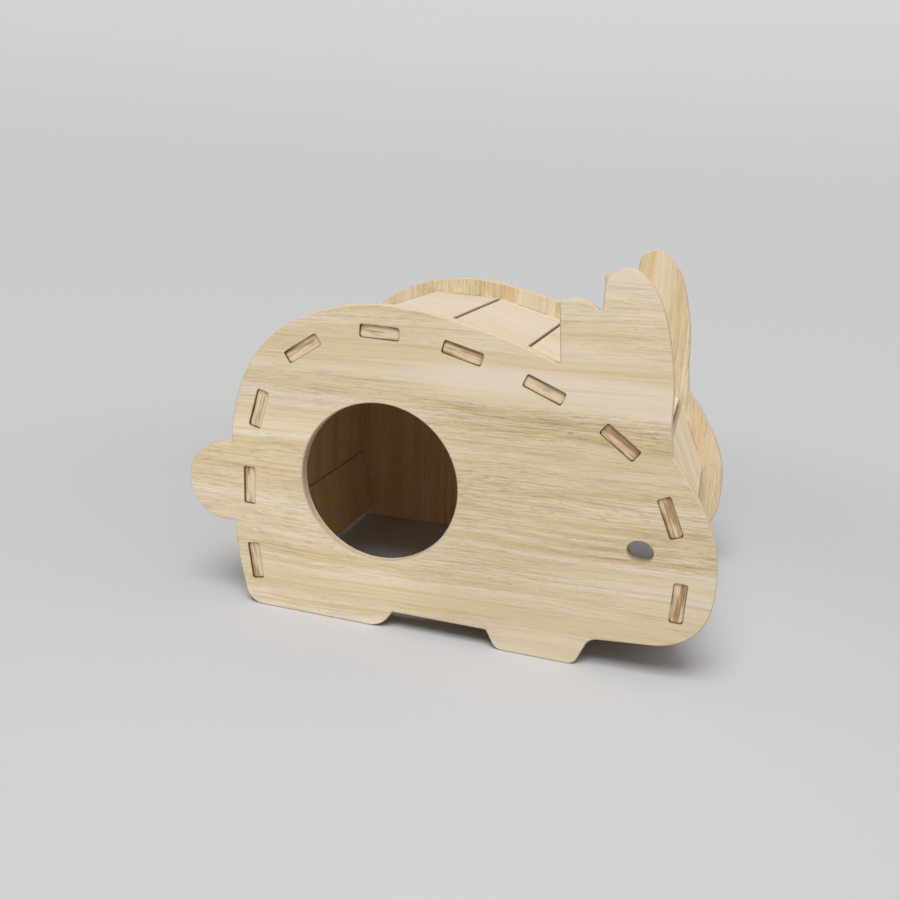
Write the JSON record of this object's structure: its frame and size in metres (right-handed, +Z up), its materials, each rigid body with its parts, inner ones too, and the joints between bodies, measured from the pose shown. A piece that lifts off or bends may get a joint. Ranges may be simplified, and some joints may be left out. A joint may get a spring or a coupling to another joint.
{
  "type": "hamster house",
  "caption": "Rabbit-shaped plywood house for a hamster: side panels joined by tabbed slats, a round doorway in one side and an open bottom.",
  "frame": {"origin": "On the ground, under the middle of the house: the centre of the bottom of its bounding box.", "axes": "+X runs from the tail to the nose, +Z is up, and the side panel with the doorway faces -Y."},
  "size_m": [0.2118, 0.124, 0.1493],
  "materials": {
    "panel_plywood": "matte",
    "slat_plywood": "matte"
  },
  "bodies": {
    "root": {"front_panel": "panel_plywood", "back_panel": "panel_plywood", "rump_slat_lower": "slat_plywood", "rump_slat_middle": "slat_plywood", "rump_slat_upper": "slat_plywood", "hip_slat": "slat_plywood", "roof_slat_rear": "slat_plywood", "roof_slat_middle": "slat_plywood", "roof_slat_front": "slat_plywood", "neck_slat": "slat_plywood", "brow_slat": "slat_plywood", "nose_slat": "slat_plywood"}
  },
  "joints": []
}
